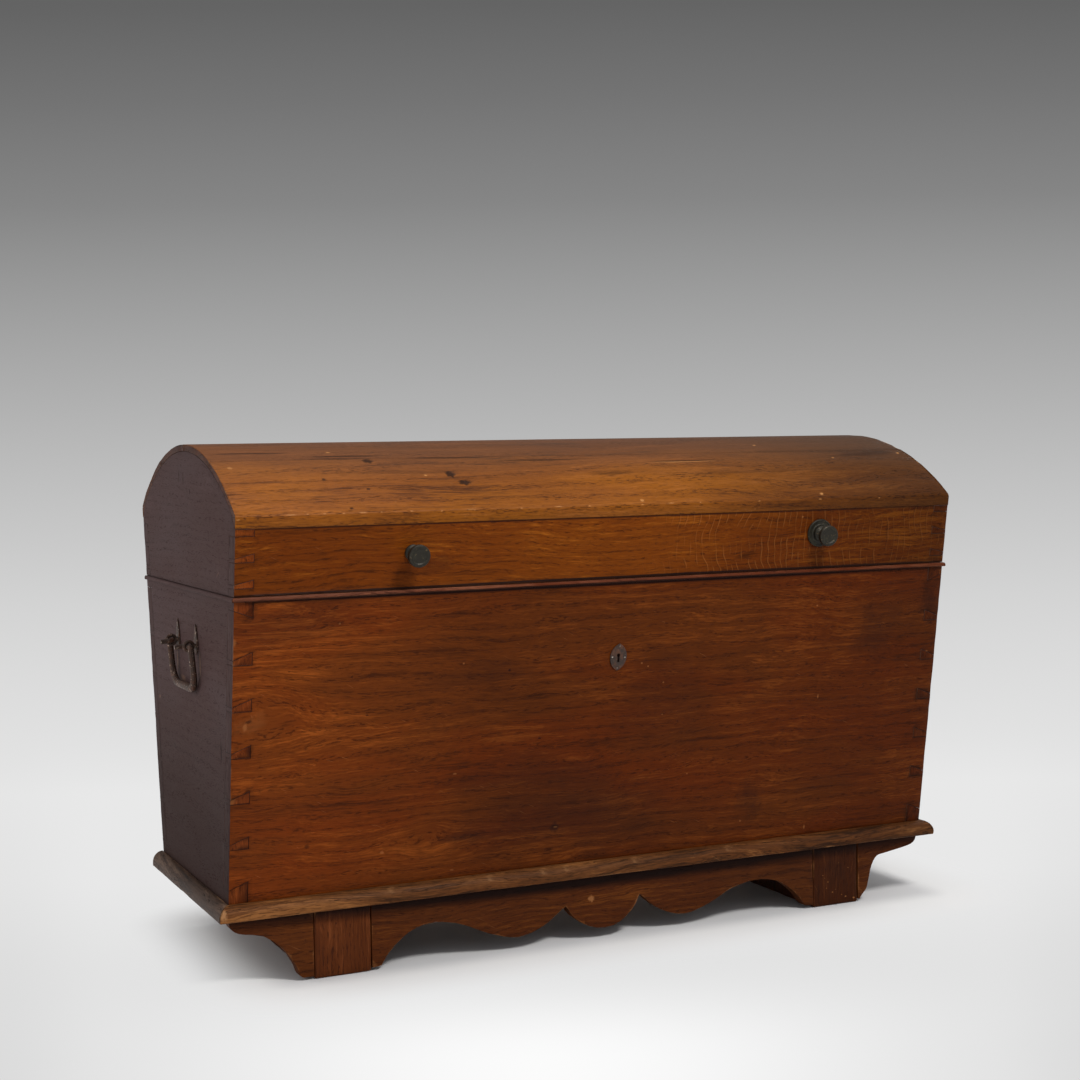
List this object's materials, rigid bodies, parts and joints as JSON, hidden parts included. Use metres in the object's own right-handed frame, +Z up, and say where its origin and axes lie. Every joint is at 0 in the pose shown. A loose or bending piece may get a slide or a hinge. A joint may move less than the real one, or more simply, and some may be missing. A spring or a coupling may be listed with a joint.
{
  "type": "domed chest",
  "caption": "Domed wooden chest on runners, with splayed dovetailed sides, a hinged coopered lid, a key lock, turned lid knobs and swinging bail handles on the ends.",
  "frame": {"origin": "on the floor, centred under the box of the whole chest with its lid shut; the middle of the boards is 11.9 mm behind it, because the knobs stand out in front", "axes": "+X to the right along the chest's length, +Y to the back where the hinges are, +Z up; the front faces -Y"},
  "size_m": [1.2622, 0.5858, 0.7803],
  "materials": {
    "roof_oak": "waxed golden oak, worn along the eaves",
    "front_oak": "waxed red-brown oak with ray fleck",
    "back_oak": "dull oiled oak",
    "end_oak": "dark waxed oak with fine checks",
    "base_oak": "worn waxed oak",
    "moulding_oak": "rubbed pale oak",
    "bare_oak": "bare sawn oak",
    "wrought_iron": "dark wrought iron, brown with age",
    "bright_iron": "filed iron, bright where it slides",
    "knob_bronze": "dark turned bronze with bright worn rims"
  },
  "bodies": {
    "chest": {"left_runner": "base_oak", "right_runner": "base_oak", "front_apron": "base_oak", "left_bracket": "base_oak", "right_bracket": "base_oak", "front_moulding": "moulding_oak", "left_moulding": "moulding_oak", "right_moulding": "moulding_oak", "bottom_board_1": "bare_oak", "bottom_board_2": "bare_oak", "bottom_board_3": "bare_oak", "front_board": "front_oak", "back_board": "back_oak", "left_end_board": "end_oak", "right_end_board": "end_oak", "front_bead": "front_oak", "left_bead": "end_oak", "right_bead": "end_oak", "left_hinge_leaf": "wrought_iron", "right_hinge_leaf": "wrought_iron", "left_hinge_pin": "wrought_iron", "right_hinge_pin": "wrought_iron", "left_front_eye": "wrought_iron", "left_back_eye": "wrought_iron", "right_front_eye": "wrought_iron", "right_back_eye": "wrought_iron", "left_front_rose": "wrought_iron", "left_back_rose": "wrought_iron", "right_front_rose": "wrought_iron", "right_back_rose": "wrought_iron", "lock_plate": "wrought_iron", "lock_case": "wrought_iron", "escutcheon": "wrought_iron"},
    "lid": {"lid_front_board": "front_oak", "lid_back_board": "back_oak", "lid_left_end": "end_oak", "lid_right_end": "end_oak", "roof_board_1": "roof_oak", "roof_board_2": "roof_oak", "roof_board_3": "roof_oak", "roof_board_4": "roof_oak", "left_hinge_strap": "wrought_iron", "right_hinge_strap": "wrought_iron", "lid_staple": "wrought_iron", "left_knob": "knob_bronze", "right_knob": "knob_bronze", "right_knob_rose": "knob_bronze", "left_knob_nut": "wrought_iron", "right_knob_nut": "wrought_iron"},
    "left_bail": {"left_bail": "wrought_iron"},
    "right_bail": {"right_bail": "wrought_iron"},
    "bolt": {"lock_bolt": "bright_iron"}
  },
  "joints": [
    {"name": "lid_hinge", "type": "hinge", "parent": "chest", "child": "lid", "pos_m": [0, 0.28338, 0.56691], "axis": [-1, 0, 0], "range_deg": [0, 100]},
    {"name": "left_bail_swing", "type": "hinge", "parent": "chest", "child": "left_bail", "pos_m": [-0.6119, 0.01192, 0.4815], "axis": [0, 1, 0], "range_deg": [0, 110]},
    {"name": "right_bail_swing", "type": "hinge", "parent": "chest", "child": "right_bail", "pos_m": [0.6119, 0.01192, 0.4815], "axis": [0, -1, 0], "range_deg": [0, 110]},
    {"name": "bolt_slide", "type": "slide", "parent": "chest", "child": "bolt", "axis": [1, 0, 0], "range_m": [0, 0.014]}
  ]
}
